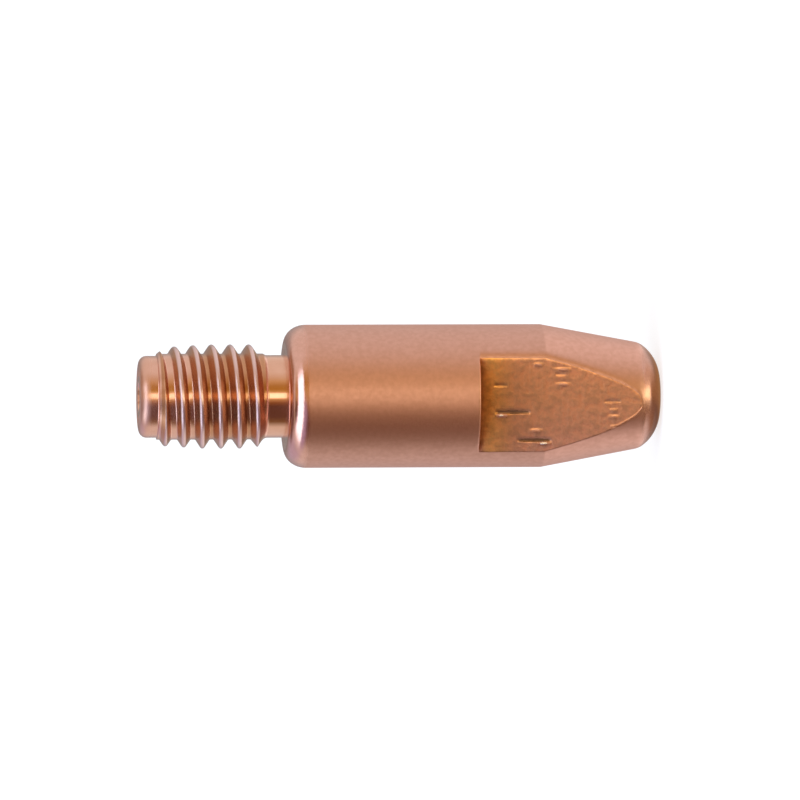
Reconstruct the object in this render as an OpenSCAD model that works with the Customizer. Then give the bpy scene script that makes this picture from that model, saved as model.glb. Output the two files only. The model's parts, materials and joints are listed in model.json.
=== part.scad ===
// Screw-in welding contact tip: one copper bar, turned on one axis and drilled along it for the welding wire.
// It stands on its nose. z = 0 is the nose face, and +Z runs up the axis to the threaded end.
// The shank is left plain at the thread's outside diameter.

/* [Body] */
// Overall length, from the nose face to the threaded end
tip_length = 28; // [24:0.5:40]
// Diameter of the body
body_diameter = 7.67; // [7:0.01:9]
// Radius of the corner between the body and the seat
shoulder_radius = 0.87; // [0.2:0.01:1.2]

/* [Nose] */
// Length of the taper, from the nose face to the body
taper_length = 6.42; // [4:0.02:8]
// Angle of the taper's side to the axis
taper_angle = 10.6; // [5:0.1:13]
// Radius of the rounded nose, from the nose face to the taper
nose_radius = 2.2; // [1.4:0.05:2.6]
// Height of the edge where the rounded nose meets the taper
nose_height = 1.14; // [0.4:0.02:1.4]

/* [Wrench flats] */
// Distance across the two flats
across_flats = 5.6; // [5:0.05:6.5]
// Length of the flats, from the nose face to their square end
flat_length = 9.95; // [7:0.05:14]

/* [Threaded shank] */
// Length of the shank, from the seat to the threaded end
shank_length = 7.82; // [6:0.01:12]
// Outside diameter of the thread
thread_diameter = 5.8; // [5:0.05:6.4]
// Diameter of the relief neck between the seat and the thread
neck_diameter = 4.43; // [3.6:0.01:4.8]
// Length of the relief neck
neck_length = 0.95; // [0.4:0.05:2]
// Slope of the thread's two ends, measured from the axis
thread_end_angle = 45; // [25:1:60]
// Diameter of the plain lead that enters the holder first
lead_diameter = 4.38; // [3.6:0.01:4.8]
// Length of the plain lead, with its chamfer
lead_length = 0.85; // [0.5:0.05:2]
// Chamfer on the end of the lead
lead_chamfer = 0.3; // [0.05:0.05:0.5]

/* [Wire bore] */
// Diameter of the bore
bore_diameter = 1; // [0.7:0.05:1.6]
// Depth of the countersink where the wire enters, at the threaded end
entry_depth = 0.3; // [0.05:0.05:0.8]
// Chamfer where the wire leaves, at the nose face
exit_chamfer = 0.1; // [0.02:0.02:0.3]

/* [Hidden] */
$fn = 96;

// How far a cut runs past the surface that it opens
overcut = 1;
copper = [0.72, 0.45, 0.32];

body_r = body_diameter / 2;
neck_r = neck_diameter / 2;
lead_r = lead_diameter / 2;
thread_r = thread_diameter / 2;
bore_r = bore_diameter / 2;

// Heights of the faces and edges along the axis
seat_z = tip_length - shank_length;
neck_top_z = seat_z + neck_length;
thread_start_z = neck_top_z + (thread_r - neck_r) / tan(thread_end_angle);
lead_base_z = tip_length - lead_length;
thread_end_z = lead_base_z - (thread_r - lead_r) / tan(thread_end_angle);

// The rounded nose runs from the flat nose face, nose_face_r wide, to the taper's lower edge at nose_edge_r
nose_edge_r = body_r - (taper_length - nose_height) * tan(taper_angle);
nose_face_r = nose_edge_r - sqrt(nose_radius^2 - (nose_radius - nose_height)^2);

// Half section of the tapered end: the taper bounds it above the edge, and the rounded nose below
module nose_section() {
    merge_z = nose_height + 0.1;
    intersection() {
        polygon([
            [0, 0],
            [nose_edge_r - nose_height * tan(taper_angle), 0],
            [body_r, taper_length],
            [0, taper_length]
        ]);
        union() {
            square([nose_face_r, taper_length]);
            translate([nose_face_r, nose_radius]) circle(r = nose_radius);
            translate([0, merge_z]) square([body_r + overcut, taper_length]);
        }
    }
}

// Half section of the body and the shank, with the body's rounded corner at the seat
module shank_section() {
    shoulder_centre = [body_r - shoulder_radius, seat_z - shoulder_radius];
    polygon([
        [0, taper_length],
        [body_r, taper_length],
        [body_r, shoulder_centre[1]],
        shoulder_centre,
        [shoulder_centre[0], seat_z],
        [neck_r, seat_z],
        [neck_r, neck_top_z],
        [thread_r, thread_start_z],
        [thread_r, thread_end_z],
        [lead_r, lead_base_z],
        [lead_r, tip_length - lead_chamfer],
        [lead_r - lead_chamfer, tip_length],
        [0, tip_length]
    ]);
    translate(shoulder_centre)
        intersection() {
            circle(r = shoulder_radius);
            square(shoulder_radius);
        }
}

// The two opposed flats for a spanner, milled from the nose up to a square step
module wrench_flats() {
    cut_depth = body_r - across_flats / 2 + overcut;
    cut_width = body_diameter + 2 * overcut;
    for (side = [0, 180])
        rotate([0, 0, side])
            translate([-cut_width / 2, across_flats / 2, -overcut])
                cube([cut_width, cut_depth, flat_length + overcut]);
}

// Through bore for the wire, with a countersunk entry and a broken edge at the exit
module wire_bore() {
    translate([0, 0, -overcut]) cylinder(r = bore_r, h = tip_length + 2 * overcut);
    translate([0, 0, tip_length - entry_depth])
        cylinder(r1 = bore_r, r2 = bore_r + entry_depth + overcut, h = entry_depth + overcut);
    translate([0, 0, -overcut])
        cylinder(r1 = bore_r + exit_chamfer + overcut, r2 = bore_r, h = exit_chamfer + overcut);
}

module contact_tip() {
    color(copper)
        difference() {
            rotate_extrude() {
                nose_section();
                shank_section();
            }
            wrench_flats();
            wire_bore();
        }
}

contact_tip();
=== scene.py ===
# %% [markdown]
# # A copper contact tip for a welding torch
# The tip is one bar of copper. It was turned on a lathe, threaded at one end, milled with two flats for
# a spanner and drilled from end to end for the welding wire. This lesson makes it in the same order:
# camera and studio first, then the copper, the turned skin with its thread, the milling and the wear.

# %% Load the frame
import json
import math

import bmesh
import bpy
import numpy as np
from mathutils import Matrix, Vector


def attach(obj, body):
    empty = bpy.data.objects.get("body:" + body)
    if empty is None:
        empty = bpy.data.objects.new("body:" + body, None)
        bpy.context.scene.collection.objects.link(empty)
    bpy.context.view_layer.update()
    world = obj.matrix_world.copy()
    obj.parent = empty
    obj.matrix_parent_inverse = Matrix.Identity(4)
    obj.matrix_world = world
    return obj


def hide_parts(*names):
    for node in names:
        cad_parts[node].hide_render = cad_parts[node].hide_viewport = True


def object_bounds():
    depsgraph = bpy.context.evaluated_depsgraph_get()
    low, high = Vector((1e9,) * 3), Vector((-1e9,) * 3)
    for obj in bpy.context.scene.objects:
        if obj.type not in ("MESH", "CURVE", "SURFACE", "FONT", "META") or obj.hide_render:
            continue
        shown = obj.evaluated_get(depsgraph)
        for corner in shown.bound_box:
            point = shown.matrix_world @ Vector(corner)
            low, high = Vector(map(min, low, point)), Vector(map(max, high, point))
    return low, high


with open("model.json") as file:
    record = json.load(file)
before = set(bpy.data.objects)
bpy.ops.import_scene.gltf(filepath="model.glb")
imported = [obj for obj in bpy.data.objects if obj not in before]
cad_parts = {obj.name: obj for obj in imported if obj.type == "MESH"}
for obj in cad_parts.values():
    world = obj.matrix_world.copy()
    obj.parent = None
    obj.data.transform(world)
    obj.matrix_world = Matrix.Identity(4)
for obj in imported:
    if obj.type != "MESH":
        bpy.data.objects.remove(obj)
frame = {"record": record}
cad_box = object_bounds()
print("CAD box in mm:", [[round(c * 1000, 3) for c in corner] for corner in cad_box])

# %% [markdown]
# ## Sizes
# What a holder, a spanner or the wire has to fit is read from the frame: the length, the body, the
# thread, the seat, the flats and the bore. The corners and small turned details are this piece's own, in
# millimetres. The skin is built in millimetres, where the numbers are easy to read, and scaled to metres
# once at the end.

# %% Sizes from the frame and the piece's own sizes
MM = 0.001
mounts = {mount["name"]: mount for mount in frame["record"]["mounts"]}

tip_length = (cad_box[1].z - cad_box[0].z) / MM
body_r = (cad_box[1].x - cad_box[0].x) / 2 / MM
thread_r = mounts["thread"]["dims"]["r_mm"]
bore_r = mounts["wire_bore"]["dims"]["r_mm"]
seat_z = mounts["seat"]["pos_m"][2] / MM
flat_depth = -mounts["wrench_flat_front"]["pos_m"][1] / MM

shoulder_drop = 0.95
shoulder_reach = 1.15
taper_length = 6.42
taper_angle = math.radians(10.6)
nose_radius = 2.2
nose_height = 1.14
flat_length = 9.95
neck_r = 2.215
neck_length = 0.95
lead_r = 2.19
lead_length = 0.93
neck_slope = 1.12
lead_slope = 1.0
root_r = 2.3
entry_depth = 0.3
exit_chamfer = 0.1
print(f"length {tip_length:.2f}, body radius {body_r:.2f}, thread radius {thread_r:.2f}")

# %% [markdown]
# ## Camera
# The tip stands on its nose, and the photograph shows it lying across the frame. So the camera looks at
# the standing tip from the side, a little from above, and is rolled a quarter turn: the nose is at the
# right. It stands far off with a long lens, because the photograph shows hardly any perspective.

# %% Camera at the photograph's angle
camera_azimuth = math.radians(8.6)
camera_elevation = math.radians(5.5)
camera_roll = math.radians(-0.19)
camera_distance = 600.0
image_side = 800
pixels_per_mm = 18.657
tip_middle_px = (-0.9, -4.04)

toward_camera = Vector((
    math.sin(camera_azimuth) * math.cos(camera_elevation),
    -math.cos(camera_azimuth) * math.cos(camera_elevation),
    math.sin(camera_elevation),
))
image_up = Vector((math.cos(camera_azimuth), math.sin(camera_azimuth), 0))
image_right = image_up.cross(toward_camera)
tip_middle = Vector((0, 0, tip_length / 2))
shift_right, shift_down = (p / pixels_per_mm for p in tip_middle_px)
aim = tip_middle - image_right * shift_right + image_up * shift_down

camera_data = bpy.data.cameras.new("camera")
camera_data.sensor_width = 36
camera_data.lens = camera_data.sensor_width * pixels_per_mm * camera_distance / image_side
camera_data.clip_start = 0.01
camera_data.clip_end = 10
camera = bpy.data.objects.new("camera", camera_data)
bpy.context.scene.collection.objects.link(camera)
axes = Matrix((image_right, image_up, toward_camera)).transposed()
camera.matrix_world = (
    Matrix.Translation((aim + toward_camera * camera_distance) * MM)
    @ axes.to_4x4()
    @ Matrix.Rotation(camera_roll, 4, "Z")
)
bpy.context.scene.camera = camera
bpy.context.scene.view_settings.view_transform = "Standard"
print(f"camera {camera_distance:.0f} mm away with a {camera_data.lens:.0f} mm lens")

# %% [markdown]
# ## Studio
# Bare metal shows little of its own: its look is the room that it mirrors. This room is a white tent,
# open towards the camera, so the metal also shows the dim warm room beyond the opening. Walls and lamps
# could be set up as objects, but each of them would then light the floor as well. So the tent is drawn in
# the world by the direction of each ray, and the first layer is a ring of bands round the tip.

# %% Bands of the tent
wall_bands = [
    # degrees round the tip, with 0 towards the camera and 90 downwards in the picture, and the colour
    (-180, (0.32, 0.29, 0.28)),
    (-155, (0.55, 0.54, 0.53)),
    (-135, (0.92, 0.92, 0.90)),
    (-72, (0.95, 0.93, 0.90)),
    (-56, (0.85, 0.74, 0.61)),
    (-42, (0.77, 0.57, 0.31)),
    (-30, (0.58, 0.35, 0.10)),
    (-19, (0.57, 0.32, 0.05)),
    (-11, (0.84, 0.62, 0.25)),
    (6, (0.84, 0.62, 0.25)),
    (12, (0.55, 0.32, 0.15)),
    (18, (0.30, 0.13, 0.04)),
    (28, (0.15, 0.07, 0.045)),
    (60, (0.16, 0.08, 0.055)),
    (76, (0.25, 0.15, 0.07)),
    (84, (0.50, 0.45, 0.38)),
    (96, (0.87, 0.87, 0.84)),
    (135, (0.88, 0.88, 0.88)),
    (155, (0.55, 0.54, 0.57)),
    (180, (0.32, 0.29, 0.28)),
]


def link_or_set(tree, socket, value):
    """Link an output to the socket, or set a plain value on it."""
    if isinstance(value, bpy.types.NodeSocket):
        tree.links.new(value, socket)
    else:
        socket.default_value = value


def add_math(tree, operation, *values, clamp=False):
    """A Math node with its inputs linked or set, returning its output."""
    made = tree.nodes.new("ShaderNodeMath")
    made.operation = operation
    made.use_clamp = clamp
    for socket, value in zip(made.inputs, values):
        link_or_set(tree, socket, value)
    return made.outputs[0]


def add_dot(tree, vector, direction):
    """The reach of a vector along a fixed direction."""
    made = tree.nodes.new("ShaderNodeVectorMath")
    made.operation = "DOT_PRODUCT"
    tree.links.new(vector, made.inputs[0])
    made.inputs[1].default_value = direction
    return made.outputs["Value"]


def add_ramp(tree, factor, stops):
    """A colour ramp with its stops given as place and colour, returning its colour."""
    made = tree.nodes.new("ShaderNodeValToRGB")
    elements = made.color_ramp.elements
    while len(elements) < len(stops):
        elements.new(0.5)
    for element, (place, colour) in zip(elements, stops):
        element.position = place
        element.color = (*colour, 1)
    link_or_set(tree, made.inputs[0], factor)
    return made.outputs[0]


world = bpy.data.worlds.new("tent")
world.use_nodes = True
tent = world.node_tree
ray = tent.nodes.new("ShaderNodeTexCoord").outputs["Generated"]
ways = {
    # how far a ray goes towards the camera's side, down the picture and up the tip
    "ahead": add_dot(tent, ray, (math.sin(camera_azimuth), -math.cos(camera_azimuth), 0)),
    "below": add_dot(tent, ray, -image_up),
    "height": add_dot(tent, ray, (0, 0, 1)),
}
ways["turn"] = add_math(tent, "DEGREES", add_math(tent, "ARCTAN2", ways["below"], ways["ahead"]))
round_the_tip = add_math(tent, "MULTIPLY_ADD", ways["turn"], 1 / 360, 0.5)
tent_colour = add_ramp(tent, round_the_tip, [(angle / 360 + 0.5, colour) for angle, colour in wall_bands])
print("the tent has", len(wall_bands), "bands round the tip")

# %% [markdown]
# ## Patches on the tent
# Over the bands lie the things that single parts of the tip mirror: the strip light beside the lens, the
# cool softbox whose white line runs round the shoulder, the roof over the seat, the ground and the glow
# at the nose, and the dim back of the tent, which the thread's flanks see. Each patch is a product of soft
# limits, so one table holds them all, and a patch is moved by a number. The camera itself sees white.

# %% Patches over the bands
white = (1, 1, 1, 1)
rim_bend = 1.6
lower_side = (0.0, 0.15)
behind = ("ahead", 0.0, -0.1)
facing_down = ("height", -0.15, -0.5)
beside_lens = [("below", -0.156, 0.087, 0.04), ("ahead", -0.02, 0.04)]
tent_patches = [
    # name, colour and limits; a second colour is for the lower side of the picture
    # a limit has a way and a soft step from one value to another, or a window and the softness of its ends
    ("side walls", [(1.30, 1.28, 1.26)], [("height", -0.50, -0.30, 0.1), ("turn either way", 60, 95)]),
    ("nose shade", [(0.37, 0.24, 0.15)], [("below", 0.18, 0.50, 0.10), ("height", -0.52, -0.72)]),
    ("nose glow", [(0.78, 0.63, 0.48)], [("below", -0.60, -0.22, 0.06), ("height", -0.74, -0.86)]),
    (
        "ground",
        [(1.25, 1.05, 0.80)],
        [("height", -0.86, -0.94), ("ahead", -0.25, -0.05), ("below", -0.20, 0.05, 0.05)],
    ),
    ("strip light", [(2.4, 2.2, 1.75)], [*beside_lens, ("height", -0.30, 0.08, 0.06)]),
    ("nose light", [(3.1, 3.0, 2.0)], [*beside_lens, ("height", -0.35, -0.65)]),
    ("corner", [(0.66, 0.64, 0.86)], [("height", 0.30, 0.80, 0.12), ("turn", 112, 165, 15)]),
    ("fringe", [(0.56, 0.50, 0.82)], [("height", 0.27, 0.55, 0.14), ("turn", 8, 100, 16)]),
    ("softbox", [(2.3, 2.9, 3.7)], [("height", 0.50, 0.86, 0.03), ("turn", -46, 92, 14)]),
    ("roof", [(0.80, 0.72, 0.68)], [("height", 0.975, 0.985)]),
    ("rim", [(0.42, 0.40, 0.37)], [("rim", -0.02, -0.16), facing_down]),
    (
        "upper back",
        [(0.45, 0.28, 0.17), (0.22, 0.12, 0.10)],
        [behind, ("below", -0.45, 0.45, 0.1), ("height", 0.6, 0.75)],
    ),
    (
        "lower back",
        [(0.44, 0.28, 0.13), (0.22, 0.14, 0.10)],
        [behind, facing_down, ("below", -0.28, 0.28, 0.15)],
    ),
]


def add_mix(tree, factor, first, second):
    """A colour mix of two outputs or colours, returning its output."""
    made = tree.nodes.new("ShaderNodeMix")
    made.data_type = "RGBA"
    link_or_set(tree, made.inputs[0], factor)
    link_or_set(tree, made.inputs[6], first)
    link_or_set(tree, made.inputs[7], second)
    return made.outputs[2]


def add_step(tree, value, low, high):
    """0 up to low and 1 from high on, eased between; with low above high it falls instead."""
    made = tree.nodes.new("ShaderNodeMapRange")
    made.interpolation_type = "SMOOTHSTEP"
    tree.links.new(value, made.inputs["Value"])
    made.inputs["From Min"].default_value = low
    made.inputs["From Max"].default_value = high
    return made.outputs["Result"]


def add_limit(tree, value, first, last, soft=None):
    """A soft step from first to last or, with a softness, a window between them."""
    if soft is None:
        return add_step(tree, value, first, last)
    rise = add_step(tree, value, first - soft, first + soft)
    fall = add_step(tree, value, last + soft, last - soft)
    return add_math(tree, "MULTIPLY", rise, fall)


def add_patch(tree, under, colours, limits):
    """One patch laid over the colour under it."""
    mask = 1.0
    for way, *ends in limits:
        mask = add_math(tree, "MULTIPLY", mask, add_limit(tree, ways[way], *ends))
    colour = (*colours[0], 1)
    if len(colours) > 1:
        shaded = add_step(tree, ways["below"], *lower_side)
        colour = add_mix(tree, shaded, colour, (*colours[1], 1))
    return add_mix(tree, mask, under, colour)


aside = add_math(tent, "ABSOLUTE", ways["below"])
ways["rim"] = add_math(tent, "MULTIPLY_ADD", aside, rim_bend, ways["ahead"])
ways["turn either way"] = add_math(tent, "ABSOLUTE", ways["turn"])
for _, colours, limits in tent_patches:
    tent_colour = add_patch(tent, tent_colour, colours, limits)
seen = tent.nodes.new("ShaderNodeLightPath").outputs["Is Camera Ray"]
link_or_set(tent, tent.nodes["Background"].inputs["Color"], add_mix(tent, seen, tent_colour, white))
bpy.context.scene.world = world
print("patches on the tent:", ", ".join(name for name, *_ in tent_patches))

# %% [markdown]
# ## Floor
# The tip stands on a pale sheet. It has a little light of its own for the camera, so that it comes out
# white like the photograph's background and still takes the soft shadow of the tip. Mirror rays pass
# through it and find the tent below, as if the sheet were lit from all round.

# %% Floor
floor_half = 1.5
floor_drop = 0.00001
floor_glow = 0.74
floor_tone = 0.35


def floor_paper():
    """Matt white paper that glows a little towards the camera."""
    material = bpy.data.materials.new("floor_paper")
    material.use_nodes = True
    tree = material.node_tree
    paper = tree.nodes["Principled BSDF"]
    paper.inputs["Base Color"].default_value = (floor_tone, floor_tone, floor_tone, 1)
    paper.inputs["Roughness"].default_value = 1.0
    paper.inputs["Specular IOR Level"].default_value = 0.0
    paper.inputs["Emission Color"].default_value = white
    seen = tree.nodes.new("ShaderNodeLightPath").outputs["Is Camera Ray"]
    link_or_set(tree, paper.inputs["Emission Strength"], add_math(tree, "MULTIPLY", seen, floor_glow))
    return material


floor_mesh = bpy.data.meshes.new("floor")
floor_corners = [(-1, -1), (1, -1), (1, 1), (-1, 1)]
floor_points = [(x * floor_half, y * floor_half, -floor_drop) for x, y in floor_corners]
floor_mesh.from_pydata(floor_points, [], [(0, 1, 2, 3)])
floor_mesh.materials.append(floor_paper())
floor = bpy.data.objects.new("floor", floor_mesh)
floor.visible_glossy = False
bpy.context.scene.collection.objects.link(floor)
print("floor", floor_half * 2, "m across")

# %% [markdown]
# ## Marks on copper
# Every face of the tip carries two marks of its making: fine lines that a tool left across the axis, and
# patches where the skin has dulled. They could be painted on an image, but an image fits one shape at one
# size. Noise fits any, so each mark is a node group that all finishes share, with its size as an input.

# %% Shared effects
line_detail = 2
patch_detail = 4
patch_limits = (0.35, 0.65)


def effect_group(name, number, output):
    """An empty shader group with a place and a number going in, and a number coming out."""
    group = bpy.data.node_groups.new(name, "ShaderNodeTree")
    group.interface.new_socket("Place", in_out="INPUT", socket_type="NodeSocketVector")
    group.interface.new_socket(number, in_out="INPUT", socket_type="NodeSocketFloat")
    group.interface.new_socket(output, in_out="OUTPUT", socket_type="NodeSocketFloat")
    return group, group.nodes.new("NodeGroupInput").outputs, group.nodes.new("NodeGroupOutput").inputs


def tool_marks():
    """Fine lines across the axis: rings on turned skin, strokes on milled skin."""
    group, given, made = effect_group("tool_marks", "Marks per mm", "Height")
    split = group.nodes.new("ShaderNodeSeparateXYZ")
    group.links.new(given["Place"], split.inputs[0])
    lines = group.nodes.new("ShaderNodeTexNoise")
    lines.noise_dimensions = "1D"
    lines.inputs["Detail"].default_value = line_detail
    group.links.new(split.outputs["Z"], lines.inputs["W"])
    group.links.new(add_math(group, "DIVIDE", given["Marks per mm"], MM), lines.inputs["Scale"])
    group.links.new(lines.outputs[0], made["Height"])
    return group


def dull_patches():
    """Soft patches of a given size, from 0 on clean skin to 1 on dull skin."""
    group, given, made = effect_group("dull_patches", "Patch mm", "Dullness")
    cloud = group.nodes.new("ShaderNodeTexNoise")
    cloud.inputs["Detail"].default_value = patch_detail
    group.links.new(given["Place"], cloud.inputs["Vector"])
    group.links.new(add_math(group, "DIVIDE", 1 / MM, given["Patch mm"]), cloud.inputs["Scale"])
    spread = group.nodes.new("ShaderNodeMapRange")
    spread.inputs["From Min"].default_value = patch_limits[0]
    spread.inputs["From Max"].default_value = patch_limits[1]
    group.links.new(cloud.outputs[0], spread.inputs["Value"])
    group.links.new(spread.outputs[0], made["Dullness"])
    return group


effects = {group.name: group for group in (tool_marks(), dull_patches())}
print("shared effects:", ", ".join(effects))

# %% [markdown]
# ## Six finishes of one copper
# The body keeps the satin skin of drawn bar. The seat, the neck and the bore are bright, the thread is
# turned, and the flats are milled and have browned. The nicks have torn lips, whose pale colour is fresh
# metal and a painted highlight, and beds whose dark colour is grime and painted shade. One function makes
# all six, so a finish is a short row of numbers. The gloss of worked metal spreads across its grain: round
# the axis on drawn skin and along it on turned skin, which the tangent tells the shader.

# %% Plain finishes
anisotropy = 0.8
finish_rows = {
    # clean and dull colour, least and most roughness, marks per mm and their depth in mm,
    # size of the dull patches and height of their ripple in mm, and the way of the grain
    "satin_copper": (
        (0.71, 0.38, 0.30), (0.66, 0.35, 0.27), (0.33, 0.37), (6, 0.001), (0.25, 0.0014), "along"
    ),
    "bright_copper": (
        (0.75, 0.42, 0.30), (0.72, 0.39, 0.27), (0.12, 0.16), (8, 0.001), (0.8, 0.0003), "across"
    ),
    "turned_copper": (
        (0.74, 0.41, 0.31), (0.70, 0.38, 0.28), (0.20, 0.26), (7, 0.003), (0.8, 0.0003), "across"
    ),
    "milled_copper": (
        (0.985, 0.457, 0.225), (0.625, 0.284, 0.137), (0.36, 0.46), (5, 0.005), (0.36, 0.004), "across"
    ),
    # the pale colour of the torn lips is fresh metal and a painted highlight
    "torn_copper": (
        (1.0, 0.88, 0.78), (0.96, 0.78, 0.66), (0.30, 0.36), (5, 0.001), (0.3, 0.0003), "across"
    ),
    # the dark colour of the nick beds is grime and painted shade
    "grimy_copper": (
        (0.34, 0.16, 0.07), (0.26, 0.12, 0.05), (0.45, 0.50), (5, 0.001), (0.3, 0.0003), "across"
    ),
}


def add_effect(tree, name, place, number):
    """A shared effect at a place, with its number set, returning its output."""
    made = tree.nodes.new("ShaderNodeGroup")
    made.node_tree = effects[name]
    tree.links.new(place, made.inputs[0])
    made.inputs[1].default_value = number
    return made.outputs[0]


def add_bump(tree, height, depth, normal=None):
    """A bump of a depth in mm, on top of another one if its normal is given."""
    made = tree.nodes.new("ShaderNodeBump")
    made.inputs["Strength"].default_value = 1.0
    made.inputs["Distance"].default_value = depth * MM
    tree.links.new(height, made.inputs["Height"])
    if normal is not None:
        tree.links.new(normal, made.inputs["Normal"])
    return made.outputs[0]


def add_blend(tree, factor, first, second):
    """A number that goes from first to second while the factor goes from 0 to 1."""
    change = add_math(tree, "SUBTRACT", second, first)
    return add_math(tree, "MULTIPLY_ADD", factor, change, first)


def add_split(tree, place):
    """The three parts of a place, by the names of the axes."""
    made = tree.nodes.new("ShaderNodeSeparateXYZ")
    tree.links.new(place, made.inputs[0])
    return made.outputs


def copper(name, clean, dull, roughness, marks, patches, grain):
    """Bare copper with tool marks, and with patches that are a little duller and rougher."""
    material = bpy.data.materials.new(name)
    material.use_nodes = True
    tree = material.node_tree
    metal = tree.nodes["Principled BSDF"]
    metal.inputs["Metallic"].default_value = 1.0
    metal.inputs["Anisotropic"].default_value = anisotropy
    place = tree.nodes.new("ShaderNodeTexCoord").outputs["Object"]

    marks_per_mm, mark_depth = marks
    patch_size, ripple_depth = patches
    lines = add_bump(tree, add_effect(tree, "tool_marks", place, marks_per_mm), mark_depth)
    dullness = add_effect(tree, "dull_patches", place, patch_size)
    tree.links.new(add_bump(tree, dullness, ripple_depth, lines), metal.inputs["Normal"])
    tree.links.new(add_mix(tree, dullness, (*clean, 1), (*dull, 1)), metal.inputs["Base Color"])
    tree.links.new(add_blend(tree, dullness, *roughness), metal.inputs["Roughness"])

    tangent = tree.nodes.new("ShaderNodeCombineXYZ")
    if grain == "along":
        split = add_split(tree, place)
        tree.links.new(add_math(tree, "MULTIPLY", split["Y"], -1), tangent.inputs["X"])
        tree.links.new(split["X"], tangent.inputs["Y"])
    else:
        tangent.inputs["Z"].default_value = 1.0
    tree.links.new(tangent.outputs[0], metal.inputs["Tangent"])
    return material


finishes = {name: copper(name, *row) for name, row in finish_rows.items()}
print("finishes:", ", ".join(finishes))

# %% [markdown]
# ## Wear and painted light on the copper
# Handling has rubbed the shoulder, the nose and the end of the lead. The flats are darker and browner
# towards their step, with painted shade in the corner under it, and lighter towards their edge at +X, with
# a painted highlight along it and a bluish painted reflection along the edge at -X. The thread's crests are
# pale from wear and a painted highlight, and its grooves are a darker red, which is painted shade. This
# could be painted on the mesh by hand. Here each change follows a place on the tip, and it is put between
# the finish and the metal's sockets, so the plain finishes stay simple and each change keeps its place when
# the mesh changes.

# %% Rubbed, browned and worn places, with painted shade and highlights
body_rubs = [
    # height where the rub starts and where it is full, and the roughness there
    (seat_z - 1.2, seat_z - 0.75, 0.17),
    (1.3, 0.95, 0.22),
]
lead_rubs = [(27.4, 27.6, 0.36)]
# tones up the flat: darker and browner towards the step, a yellow band before it, and painted shade in the
# corner under the step
up_the_flat_with_step_shade = [
    (1.0, (0.92, 0.92, 0.92)),
    (5.4, (0.87, 0.85, 0.85)),
    (7.0, (0.80, 0.77, 0.72)),
    (8.0, (0.71, 0.66, 0.58)),
    (8.7, (0.72, 0.67, 0.44)),
    (9.3, (0.82, 0.77, 0.40)),
    (9.6, (0.76, 0.71, 0.41)),
    (9.85, (0.50, 0.42, 0.38)),
]
# painted light across the flat: lighter towards +X with a painted highlight at that edge, and a bluish
# painted reflection at the -X edge
painted_light_across_the_flat = [
    (-2.7, (1.0, 1.05, 1.40)),
    (-1.5, (0.93, 0.93, 1.05)),
    (0.3, (1.0, 0.98, 0.94)),
    (1.6, (1.10, 1.06, 1.0)),
    (2.2, (1.20, 1.18, 1.15)),
    (2.6, (1.50, 1.60, 1.80)),
]
flat_half_width = 2.7
wear_from = 24.5
wear_slope = 0.065
root_slope = -0.05
thread_wear_and_painted_light = [
    # radius where it starts and where it is full, its change per mm past wear_from, colour and roughness
    # the first row darkens the thread's grooves as painted shade; the second makes the crests pale, for
    # wear and a painted highlight
    (2.25, 2.30, root_slope, (0.53, 0.25, 0.135), 0.25),
    (2.70, 2.775, wear_slope, (0.72, 0.49, 0.46), 0.38),
]


def opened(material):
    """The material's tree, the sockets of its metal, and the place on the object."""
    tree = material.node_tree
    place = tree.nodes.new("ShaderNodeTexCoord").outputs["Object"]
    return tree, tree.nodes["Principled BSDF"].inputs, place


def rub(material, rubs):
    """Change the roughness past a height."""
    tree, metal, place = opened(material)
    for start, full, smooth in rubs:
        rubbed = add_step(tree, add_split(tree, place)["Z"], start * MM, full * MM)
        rough = metal["Roughness"].links[0].from_socket
        tree.links.new(add_blend(tree, rubbed, rough, smooth), metal["Roughness"])


def shade(material, axis, low, high, tones):
    """Multiply the colour by tones that lie along one axis, between low and high."""
    tree, metal, place = opened(material)
    along = tree.nodes.new("ShaderNodeMapRange")
    tree.links.new(add_split(tree, place)[axis], along.inputs["Value"])
    along.inputs["From Min"].default_value = low * MM
    along.inputs["From Max"].default_value = high * MM
    stops = [((at - low) / (high - low), tone) for at, tone in tones]
    toned = tree.nodes.new("ShaderNodeMix")
    toned.data_type = "RGBA"
    toned.blend_type = "MULTIPLY"
    toned.inputs[0].default_value = 1.0
    tree.links.new(metal["Base Color"].links[0].from_socket, toned.inputs[6])
    tree.links.new(add_ramp(tree, along.outputs[0], stops), toned.inputs[7])
    tree.links.new(toned.outputs[2], metal["Base Color"])


def wear_and_painted_light_by_radius(material, wear):
    """Change colour and roughness past a radius, which may change along the thread."""
    tree, metal, place = opened(material)
    level = tree.nodes.new("ShaderNodeVectorMath")
    level.operation = "MULTIPLY"
    level.inputs[1].default_value = (1, 1, 0)
    tree.links.new(place, level.inputs[0])
    reach = tree.nodes.new("ShaderNodeVectorMath")
    reach.operation = "LENGTH"
    tree.links.new(level.outputs[0], reach.inputs[0])
    past = add_math(tree, "SUBTRACT", add_split(tree, place)["Z"], wear_from * MM)
    past = add_math(tree, "MAXIMUM", past, 0)
    for start_r, full_r, slope, tone, roughness in wear:
        radius = add_math(tree, "MULTIPLY_ADD", past, slope, reach.outputs["Value"])
        # the mask covers painted shade in the grooves, and wear with a painted highlight on the crests
        worn = add_step(tree, radius, start_r * MM, full_r * MM)
        colour = metal["Base Color"].links[0].from_socket
        rough = metal["Roughness"].links[0].from_socket
        tree.links.new(add_mix(tree, worn, colour, (*tone, 1)), metal["Base Color"])
        tree.links.new(add_blend(tree, worn, rough, roughness), metal["Roughness"])


rub(finishes["satin_copper"], body_rubs)
rub(finishes["turned_copper"], lead_rubs)
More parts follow.
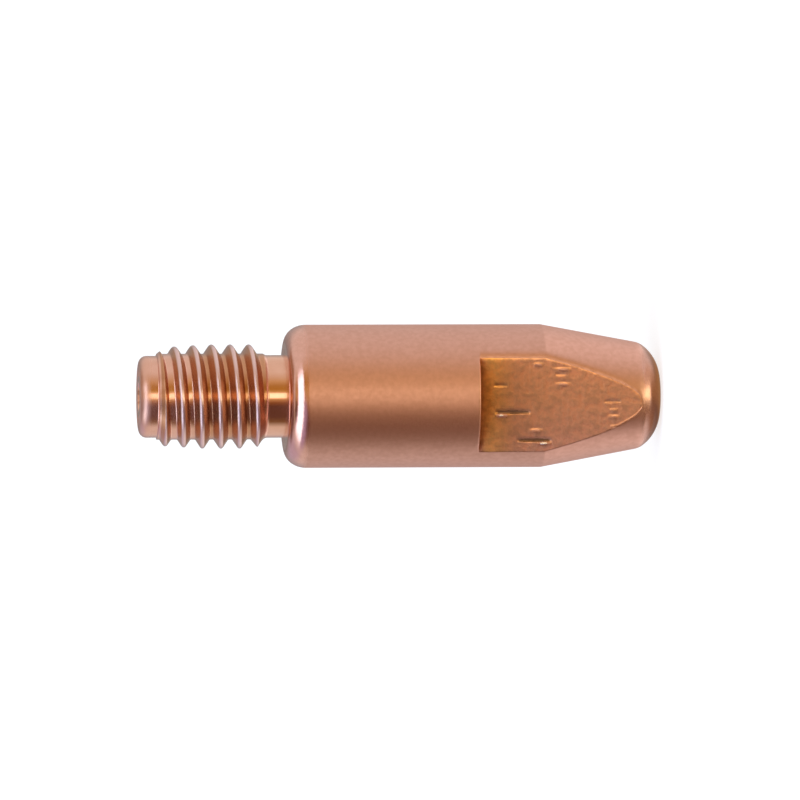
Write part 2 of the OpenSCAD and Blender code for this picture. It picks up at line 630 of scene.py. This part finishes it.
# the milled colour gets painted shade under the step and painted light across the flat
shade(finishes["milled_copper"], "Z", 0, flat_length, up_the_flat_with_step_shade)
shade(finishes["milled_copper"], "X", -flat_half_width, flat_half_width, painted_light_across_the_flat)
# the thread's grooves get painted shade, and its crests a pale colour of wear and painted highlight
wear_and_painted_light_by_radius(finishes["turned_copper"], thread_wear_and_painted_light)
print(len(body_rubs + lead_rubs), "rubs and", len(thread_wear_and_painted_light), "changes on the thread")

# %% [markdown]
# ## Section of the bar
# A turned piece is one closed line spun round an axis. The line runs out along the nose face, up the
# outside, over the threaded end and back down the bore. Straight runs need points only where something
# will be cut into them, so each run has its own step: close rows for the thread and the flats, and few on
# the plain body. The first half goes as far as the seat, with a worn nose and an elliptic shoulder.

# %% Section of the nose and the body
flat_step = 0.1
round_step = 0.06
plain_step = 1.0
step_gap = 0.001
step_round = 0.12
step_rows = 4
nose_wear = 0.08
relax_length = 1.5
quarter = math.pi / 2

nose_edge_r = body_r - (taper_length - nose_height) * math.tan(taper_angle)
nose_end_angle = -math.asin((nose_radius - nose_height) / nose_radius)
nose_face_r = nose_edge_r - nose_radius * math.cos(nose_end_angle)
relax_z = flat_length + relax_length
shoulder_r = body_r - shoulder_drop
shoulder_z = seat_z - shoulder_reach


def straight(start, end, step):
    """Points from start up to, but not including, end."""
    start, end = np.array(start, float), np.array(end, float)
    count = max(1, round(np.linalg.norm(end - start) / step))
    return [tuple(start + (end - start) * i / count) for i in range(count)]


def rounded(centre, radius, start_angle, end_angle):
    """Points on an arc up to, but not including, its end, with angles from the outward direction."""
    count = round(abs(end_angle - start_angle) * radius / round_step)
    angles = [start_angle + (end_angle - start_angle) * i / count for i in range(count)]
    return [(centre[0] + radius * math.cos(a), centre[1] + radius * math.sin(a)) for a in angles]


def smooth_min(a, b, ease):
    """The smaller of two values, with the corner between them eased."""
    blend = np.maximum(ease - np.abs(a - b), 0) / ease
    return np.minimum(a, b) - blend * blend * ease / 4


def worn_edge(r, z):
    """A point of the nose after wear has eased the edge between the rounded nose and the taper."""
    if z > nose_radius:
        return r, z
    taper_r = nose_edge_r + (z - nose_height) * math.tan(taper_angle)
    round_r = nose_face_r + math.sqrt(nose_radius**2 - (nose_radius - z) ** 2)
    return float(smooth_min(taper_r, round_r, nose_wear)), z


nose = rounded((nose_face_r, nose_radius), nose_radius, -quarter, nose_end_angle)
nose += straight((nose_edge_r, nose_height), (body_r, taper_length), flat_step)
shoulder = rounded((0, 0), 1, 0, quarter)

section = straight((bore_r, exit_chamfer), (bore_r + exit_chamfer, 0), exit_chamfer)
section += straight((bore_r + exit_chamfer, 0), (nose_face_r, 0), flat_step)
section += [worn_edge(r, z) for r, z in nose]
section += straight((body_r, taper_length), (body_r, flat_length - step_gap), flat_step)
section += straight((body_r, flat_length - step_gap), (body_r, flat_length), step_gap)
section += straight((body_r, flat_length), (body_r, flat_length + step_round), step_round / step_rows)
section += straight((body_r, flat_length + step_round), (body_r, relax_z), 3 * flat_step)
section += straight((body_r, relax_z), (body_r, shoulder_z), plain_step)
section += [(shoulder_r + shoulder_drop * r, shoulder_z + shoulder_reach * z) for r, z in shoulder]
section += straight((shoulder_r, seat_z), (neck_r, seat_z), 3 * flat_step)
print(len(section), "points from the bore's lower end to the neck")

# %% [markdown]
# ## Section of the shank
# The second half has the neck, the blank of the thread with its sloped ends, the lead with a rounded end,
# and the bore. The run from the neck to the thread is flared, as a threading tool leaves it when it is
# drawn back. The rows of the thread are the closest of all, because the groove is cut by moving them.

# %% Section of the shank and the bore
thread_step = 0.036
lead_round = 0.42

neck_top_z = seat_z + neck_length
thread_start_z = neck_top_z + (thread_r - neck_r) / neck_slope
lead_base_z = tip_length - lead_length
thread_end_z = lead_base_z - (thread_r - lead_r) / lead_slope
lead_end_z = tip_length - lead_round
lead_face_r = lead_r - lead_round
entry_r = bore_r + entry_depth


def flared(start, end, step):
    """Points from start up to, but not including, end, on a line that leaves the axis slowly."""
    (start_r, start_z), (end_r, end_z) = start, end
    count = round((end_z - start_z) / step)
    shares = [i / count for i in range(count)]
    radii = [end_r - (end_r - start_r) * math.cos(quarter * share) for share in shares]
    return [(r, start_z + (end_z - start_z) * share) for r, share in zip(radii, shares)]


section += straight((neck_r, seat_z), (neck_r, neck_top_z - thread_step), 3 * flat_step)
section += straight((neck_r, neck_top_z - thread_step), (neck_r, neck_top_z), thread_step)
section += flared((neck_r, neck_top_z), (thread_r, thread_start_z), thread_step)
section += straight((thread_r, thread_start_z), (thread_r, thread_end_z), thread_step)
section += straight((thread_r, thread_end_z), (root_r, lead_base_z - thread_step), thread_step)
section += straight((root_r, lead_base_z - thread_step), (lead_r, lead_base_z), thread_step)
section += straight((lead_r, lead_base_z), (lead_r, lead_base_z + thread_step), thread_step)
section += straight((lead_r, lead_base_z + thread_step), (lead_r, lead_end_z), 2 * flat_step)
section += rounded((lead_face_r, lead_end_z), lead_round, 0, quarter)
section += straight((lead_face_r, tip_length), (entry_r, tip_length), 3 * flat_step)
section += straight((entry_r, tip_length), (bore_r, tip_length - entry_depth), entry_depth)
section += straight((bore_r, tip_length - entry_depth), (bore_r, exit_chamfer), 5 * plain_step)
print(len(section), "points round the section")

# %% [markdown]
# ## The lathe, as Geometry Nodes
# Spinning a line and cutting a thread both follow a rule, so one node tree does both. Curve to Mesh
# carries the section round a ring. Then each point between the ends of the thread is pushed in to a
# ridge that climbs one pitch in each turn. The ridge has straight flanks and an eased crest and root,
# and it is lower and narrower towards the lead. The blank's sloped ends stay, so the thread runs in and
# out by itself.

# %% Node tree of the lathe
ring_r = 1.0
full_turn = 2 * math.pi
outside_bore_r = 2 * bore_r
flank_slope = 1.5
flank_half = 0.40
crest_ease = 0.15
root_ease = 0.06
ridge_fade = 0.3
wear_narrowing = 0.9
thread_inputs = [
    "Pitch",
    "Crest radius",
    "Root radius",
    "Crest at",
    "Ridge from",
    "Thread from",
    "Thread to",
]


def add_spin(tree, section, columns):
    """The upright section laid flat and carried round a ring."""
    laid = tree.nodes.new("GeometryNodeTransform")
    laid.inputs["Translation"].default_value = (-ring_r, 0, 0)
    laid.inputs["Rotation"].default_value = (quarter, 0, 0)
    tree.links.new(section, laid.inputs["Geometry"])
    line = tree.nodes.new("GeometryNodeMeshToCurve")
    tree.links.new(laid.outputs[0], line.inputs["Mesh"])
    ring = tree.nodes.new("GeometryNodeCurvePrimitiveCircle")
    ring.inputs["Radius"].default_value = ring_r
    tree.links.new(columns, ring.inputs["Resolution"])
    level = tree.nodes.new("GeometryNodeSetCurveNormal")
    level.mode = "Z_UP"
    tree.links.new(ring.outputs[0], level.inputs["Curve"])
    spun = tree.nodes.new("GeometryNodeCurveToMesh")
    tree.links.new(level.outputs[0], spun.inputs["Curve"])
    tree.links.new(line.outputs[0], spun.inputs["Profile Curve"])
    return spun.outputs[0]


def add_thread(tree, given, z, angle):
    """The radius of the thread at a height and an angle."""
    # how far a point is from the nearest crest of the helix, in pitches
    turns = add_math(tree, "DIVIDE", angle, full_turn)
    pitches = add_math(tree, "SUBTRACT", z, given["Crest at"])
    pitches = add_math(tree, "DIVIDE", pitches, given["Pitch"])
    phase = add_math(tree, "WRAP", add_math(tree, "SUBTRACT", pitches, turns), 0.5, -0.5)

    # straight flanks, which stand closer together past the start of the wear
    from_crest = add_math(tree, "MULTIPLY", add_math(tree, "ABSOLUTE", phase), given["Pitch"])
    past_wear = add_math(tree, "MAXIMUM", add_math(tree, "SUBTRACT", z, wear_from), 0)
    worn = add_math(tree, "MULTIPLY", past_wear, wear_slope)
    flank = add_math(tree, "MULTIPLY_ADD", from_crest, -flank_slope, flank_half * flank_slope)
    flank = add_math(tree, "MULTIPLY_ADD", worn, -wear_narrowing, flank)
    flank = add_math(tree, "SMOOTH_MAX", flank, 0, root_ease)

    # an eased crest, lower with the wear, that starts clear of the neck
    depth = add_math(tree, "SUBTRACT", given["Crest radius"], given["Root radius"])
    height = add_math(tree, "SUBTRACT", depth, worn)
    crest_z = add_math(tree, "SUBTRACT", z, add_math(tree, "MULTIPLY", phase, given["Pitch"]))
    past_neck = add_math(tree, "SUBTRACT", crest_z, given["Ridge from"])
    begun = add_math(tree, "DIVIDE", past_neck, ridge_fade, clamp=True)
    ridge = add_math(tree, "SMOOTH_MIN", flank, height, crest_ease)
    ridge = add_math(tree, "MULTIPLY", ridge, begun)
    return add_math(tree, "ADD", given["Root radius"], ridge)


def add_cut(tree, given):
    """Where each point lies after the thread is cut."""
    x, y, z = add_split(tree, tree.nodes.new("GeometryNodeInputPosition").outputs[0])
    squares = add_math(tree, "MULTIPLY_ADD", x, x, add_math(tree, "MULTIPLY", y, y))
    radius = add_math(tree, "SQRT", squares)
    angle = add_math(tree, "ARCTAN2", y, x)
    cut = add_math(tree, "MINIMUM", radius, add_thread(tree, given, z, angle))
    above = add_math(tree, "GREATER_THAN", z, given["Thread from"])
    below = add_math(tree, "LESS_THAN", z, given["Thread to"])
    outer = add_math(tree, "GREATER_THAN", radius, outside_bore_r)
    threaded = add_math(tree, "MULTIPLY", add_math(tree, "MULTIPLY", above, below), outer)
    shrink = add_math(tree, "SUBTRACT", add_math(tree, "DIVIDE", cut, radius), 1.0)
    scale = add_math(tree, "MULTIPLY_ADD", threaded, shrink, 1.0)
    place = tree.nodes.new("ShaderNodeCombineXYZ")
    tree.links.new(add_math(tree, "MULTIPLY", x, scale), place.inputs["X"])
    tree.links.new(add_math(tree, "MULTIPLY", y, scale), place.inputs["Y"])
    tree.links.new(z, place.inputs["Z"])
    return place.outputs[0]


def lathe_tree():
    """Section line in, turned and threaded skin out."""
    tree = bpy.data.node_groups.new("lathe", "GeometryNodeTree")
    tree.interface.new_socket("Section", in_out="INPUT", socket_type="NodeSocketGeometry")
    tree.interface.new_socket("Columns", in_out="INPUT", socket_type="NodeSocketInt")
    for name in thread_inputs:
        tree.interface.new_socket(name, in_out="INPUT", socket_type="NodeSocketFloat")
    tree.interface.new_socket("Finish", in_out="INPUT", socket_type="NodeSocketMaterial")
    tree.interface.new_socket("Skin", in_out="OUTPUT", socket_type="NodeSocketGeometry")
    given = tree.nodes.new("NodeGroupInput").outputs
    made = tree.nodes.new("NodeGroupOutput").inputs

    moved = tree.nodes.new("GeometryNodeSetPosition")
    tree.links.new(add_spin(tree, given["Section"], given["Columns"]), moved.inputs["Geometry"])
    tree.links.new(add_cut(tree, given), moved.inputs["Position"])
    real = tree.nodes.new("GeometryNodeRealizeInstances")
    tree.links.new(moved.outputs[0], real.inputs[0])
    coated = tree.nodes.new("GeometryNodeSetMaterial")
    tree.links.new(real.outputs[0], coated.inputs["Geometry"])
    tree.links.new(given["Finish"], coated.inputs["Material"])
    tree.links.new(coated.outputs[0], made["Skin"])
    return tree


lathe = lathe_tree()
print("the lathe has", len(lathe.nodes), "nodes")

# %% [markdown]
# ## Turning the blank
# On the real tip the thread is cut in a few passes of one tool. Here its sizes go to the node tree's named
# inputs before the tree is first evaluated. The result is taken as a plain mesh, and the blank goes with
# its modifier, because the flats and the nicks are cut by moving plain points.

# %% Turn the tip
columns = 216
thread_sizes = {
    "Columns": columns,
    "Pitch": 1.0,
    "Crest radius": 2.79,
    "Root radius": root_r,
    "Crest at": 25.07,
    "Ridge from": 21.35,
    "Thread from": neck_top_z,
    "Thread to": lead_base_z,
    "Finish": finishes["satin_copper"],
}


def turned(line, tree, sizes):
    """The section line as a closed skin, made by the lathe and turned into a plain mesh."""
    drawing = bpy.data.meshes.new("section")
    loop = [(i, (i + 1) % len(line)) for i in range(len(line))]
    drawing.from_pydata([(r, 0, z) for r, z in line], loop, [])
    blank = bpy.data.objects.new("blank", drawing)
    bpy.context.scene.collection.objects.link(blank)
    lathe_step = blank.modifiers.new("lathe", "NODES")
    lathe_step.node_group = tree
    for item in tree.interface.items_tree:
        if item.name in sizes:
            lathe_step[item.identifier] = sizes[item.name]
    evaluated = blank.evaluated_get(bpy.context.evaluated_depsgraph_get())
    skin = bpy.data.meshes.new_from_object(evaluated)
    bpy.data.objects.remove(blank)
    return skin


def points_of(skin):
    """The skin's points as rows of x, y and z."""
    flat_list = np.empty(len(skin.vertices) * 3)
    skin.vertices.foreach_get("co", flat_list)
    return flat_list.reshape(-1, 3)


skin = turned(section, lathe, thread_sizes)
points = points_of(skin)
print(len(points), "points, from", points.min(0).round(3), "to", points.max(0).round(3))

# %% [markdown]
# ## Wrench flats
# The flats were milled from the nose up to a square step, and where the flat cutter leaves the taper its
# edge is a curve that closes near the nose. A boolean would cut it, but here the columns of the skin are
# slid round until one of them lies on that edge in every row, and then the points outside the flat are
# pressed onto it. So the edge is clean, and it can be eased above and carry a burr below.

# %% Mill the two flats
column_step = full_turn / columns
edge_columns = 26
edge_column = edge_columns * column_step
edge_spread = math.radians(0.5)
edge_rows = 3
edge_ease = 0.24
nose_edge_ease = 0.04
lower_edge_ease = 0.03
flat_lean = 0.045
burr_height = 0.018
burr_width = 0.05
burr_inset = 0.06
burr_end_z = 3.2
burr_full_z = burr_end_z / 2
run_out_z = nose_radius - math.sqrt(nose_radius**2 - (flat_depth + flat_lean - nose_face_r) ** 2)


def flat_at(z):
    """Distance of the flat from the axis, which the cutter left a hair larger towards the nose."""
    return flat_depth + flat_lean * np.clip(1 - z / flat_length, 0, 1)


def slid_columns(turn, half_chord):
    """Angles of the columns, packed closely at the flat's edge and spread over what is left beside it."""
    steps = (turn - edge_column) / column_step
    pack = edge_rows * edge_spread
    packed_columns = edge_rows * column_step
    inner = turn * (half_chord - pack) / (edge_column - packed_columns)
    left_over = (quarter - half_chord - pack) / (quarter - edge_column - packed_columns)
    outer = half_chord + pack + (turn - edge_column - packed_columns) * left_over
    slid = np.where(steps > edge_rows, outer, half_chord + steps * edge_spread)
    return np.where(steps < -edge_rows, inner, slid)


def milled(points):
    """The skin's points after both flats are cut."""
    x, y, z = points.T
    radius = np.hypot(x, y)
    side = np.where(y < 0, -1, 1)
    angle = np.arctan2(x, np.abs(y))
    turn = np.abs(angle)
    plane = flat_at(z)
    half_chord = np.arccos(np.clip(plane / np.maximum(radius, plane), 0, 1))
    half_chord = np.maximum(half_chord, (edge_rows + 1) * edge_spread)
    above = np.clip((relax_z - z) / (relax_z - flat_length), 0, 1)
    below = np.clip(z / run_out_z, 0, 1)
    share = np.where(radius > nose_face_r, above * below, 0)
    angle = np.sign(angle) * (turn + share * (slid_columns(turn, half_chord) - turn))

    # the upper edge is eased, and the lower one is sharper and carries the burr
    x = radius * np.sin(angle)
    depth = radius * np.cos(angle)
    cut = (z < flat_length - step_gap / 2) & (radius > nose_face_r)
    ease = np.interp(z, [run_out_z, taper_length], [nose_edge_ease, edge_ease])
    ease = np.where(x * side < 0, ease, lower_edge_ease)
    inside = np.sqrt(np.maximum(radius**2 - plane**2, 0)) - np.abs(x)
    burr = burr_height * np.exp(-(((inside - burr_inset) / burr_width) ** 2))
    burr = burr * np.clip((burr_end_z - z) / burr_full_z, 0, 1)
    burr = np.where((x * side > 0) & (z > run_out_z + burr_inset), burr, 0)
    depth = np.where(cut, smooth_min(depth, plane, ease) + np.where(depth > plane, burr, 0), depth)

    # the body's end over the step is eased too
    past_step = np.clip((flat_length + step_round - z) / step_round, 0, 1)
    ease = np.minimum(step_round, np.maximum(depth - plane, 0) / 2)
    on_end = (z > flat_length - step_gap / 2) & (z < flat_length + step_round)
    depth = np.where(on_end, depth - ease * (1 - np.sqrt(1 - past_step**2)), depth)
    return np.stack([x, side * depth, z], axis=1)


points = milled(points)
print(f"flats cut from {run_out_z:.2f} to {flat_length:.2f} above the nose")

# %% [markdown]
# ## Nicks
# Pliers and a scriber have left short strokes along the front flat: two deep ones with a torn lip, a few
# shallow furrows, and several that only raised the skin. They could be sculpted. Here the flat's grid is
# made finer where they lie, and each stroke then pushes the points in or out by a formula: a rounded
# furrow across it, faded at both ends, with its lip beside it. So a nick is one row of numbers.

# %% Nicks in the front flat
nick_cuts = 3
nick_margin = 0.3
on_flat_gap = 0.001
upper_half = 0.12
lower_half = 0.045
lip_offset = 0.15
lip_half = 0.10
lip_reach = 0.36
nicks = [
    # across, top end, lower end, depth, lip height, and the lip's place from the lower end to the top
    (-0.50, 9.10, 7.20, 0.060, 0.040, 0.88),
    (-2.02, 7.90, 6.05, 0.060, 0.040, 0.20),
    (-1.34, 7.30, 6.50, 0.006, 0.018, 0.5),
    (0.95, 9.20, 8.45, 0.024, 0.000, 0.5),
    (2.22, 7.10, 6.55, 0.006, 0.018, 0.5),
    (1.95, 6.10, 5.00, 0.008, 0.022, 0.4),
    (1.15, 5.95, 5.00, 0.006, 0.018, 0.5),
    (1.55, 5.90, 5.35, 0.020, 0.004, 0.5),
    (0.08, 3.25, 2.35, 0.024, 0.000, 0.5),
    (-0.25, 3.00, 2.50, 0.004, 0.010, 0.5),
    (-0.60, 3.05, 2.40, 0.004, 0.012, 0.5),
    (-1.15, 2.95, 2.55, 0.004, 0.012, 0.5),
]


def near_nick(edge):
    """Whether the middle of an edge is on the front flat, beside one of the nicks."""
    middle = (edge.verts[0].co + edge.verts[1].co) / 2
    if middle.z > flat_length - nick_margin or abs(middle.y + flat_at(middle.z)) > on_flat_gap:
        return False
    for across, top, low, *_ in nicks:
        if abs(middle.x - across) < nick_margin and low - nick_margin < middle.z < top + nick_margin:
            return True
    return False


def refined(skin, points):
    """The points of the milled skin, after its grid is made finer round each nick."""
    skin.vertices.foreach_set("co", points.ravel())
    shape = bmesh.new()
    shape.from_mesh(skin)
    near = [edge for edge in shape.edges if near_nick(edge)]
    bmesh.ops.subdivide_edges(shape, edges=near, cuts=nick_cuts, use_grid_fill=True)
    shape.to_mesh(skin)
    shape.free()
    return points_of(skin)


def nicked(points):
    """The points after every stroke has moved the front flat, and how far each point was raised."""
    x, y, z = points.T.copy()
    on_flat = (np.abs(y + flat_at(z)) < on_flat_gap) & (z < flat_length - step_gap)
    out = np.zeros(len(points))
    for across, top, low, depth, lip, lip_place in nicks:
        along = np.clip((z - low) / (top - low), 0, 1)
        side = x - across
        fade = np.sqrt(np.sin(math.pi * along))
        furrow = depth * np.exp(-((side / np.where(side > 0, upper_half, lower_half)) ** 2))
        beside_lip = (side + lip_offset) / lip_half
        along_lip = (along - lip_place) * (top - low) / lip_reach
        lifted = lip * np.exp(-(np.hypot(beside_lip, along_lip) ** 2))
        out += np.where(on_flat, fade * (lifted - furrow), 0)
    return np.stack([x, y - out, z], axis=1), out


points, raised = nicked(refined(skin, points))
print(len(nicks), "nicks on", len(points), "points")

# %% [markdown]
# ## Finishes on the faces
# The skin is still one finish all over. Each face gets its own by where it lies: on the thread, on the
# seat or in the bore, on a flat, on the lip of a nick or in its bed. Masks in one material would do it
# too, but a rule for each face puts the borders exactly on the edges that the cuts have left. Edges that
# turn by more than the crease angle stay sharp, except in the thread, which is smooth all over.

# %% Finish the mesh
crease = math.radians(35)
flat_skin = 0.006
torn_lip = 0.024
soft_lip = 0.010
dark_nick = 0.025


def finish_of(face):
    """The name of the finish for one face, by its place and by how far the nicks moved it."""
    middle = face.calc_center_median()
    reach = math.hypot(middle.x, middle.y)
    off_flat = abs(abs(middle.y) - flat_at(middle.z))
    moves = [raised[vertex.index] for vertex in face.verts]
    on_flat = middle.z < flat_length and (off_flat < flat_skin or min(moves) < -step_gap)
    on_step = abs(middle.z - flat_length) < step_gap
    if middle.z > neck_top_z and reach > outside_bore_r:
        return "turned_copper"
    if middle.z > seat_z - step_gap or reach < nose_face_r:
        return "bright_copper"
    # pale lips carry a painted highlight, and dark beds carry painted shade as well as grime
    if max(moves) > torn_lip:
        return "torn_copper"
    if min(moves) < -dark_nick:
        return "grimy_copper"
    if max(moves) < soft_lip and (on_flat or on_step or max(moves) > step_gap):
        return "milled_copper"
    return "satin_copper"


def is_smooth(edge):
    """Whether the shading runs on over an edge."""
    middle = (edge.verts[0].co + edge.verts[1].co) / 2
    in_thread = neck_top_z < middle.z < lead_base_z
    in_thread = in_thread and math.hypot(middle.x, middle.y) > outside_bore_r
    return in_thread or edge.calc_face_angle(0) < crease


def finished(skin, points):
    """Points set, faces outward, creases marked and each face given its finish; the volume comes back."""
    skin.vertices.foreach_set("co", points.ravel())
    skin.materials.clear()
    for finish in finishes.values():
        skin.materials.append(finish)
    order = list(finishes)
    shape = bmesh.new()
    shape.from_mesh(skin)
    bmesh.ops.recalc_face_normals(shape, faces=shape.faces)
    for face in shape.faces:
        face.smooth = True
        face.material_index = order.index(finish_of(face))
    for edge in shape.edges:
        edge.smooth = is_smooth(edge)
    volume = shape.calc_volume()
    shape.to_mesh(skin)
    shape.free()
    skin.transform(Matrix.Scale(MM, 4))
    return volume


volume = finished(skin, points)
tip = bpy.data.objects.new("contact_tip_skin", skin)
bpy.context.scene.collection.objects.link(tip)
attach(tip, "root")
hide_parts("contact_tip")
print(f"{len(skin.polygons)} faces, {volume:.1f} cubic mm")
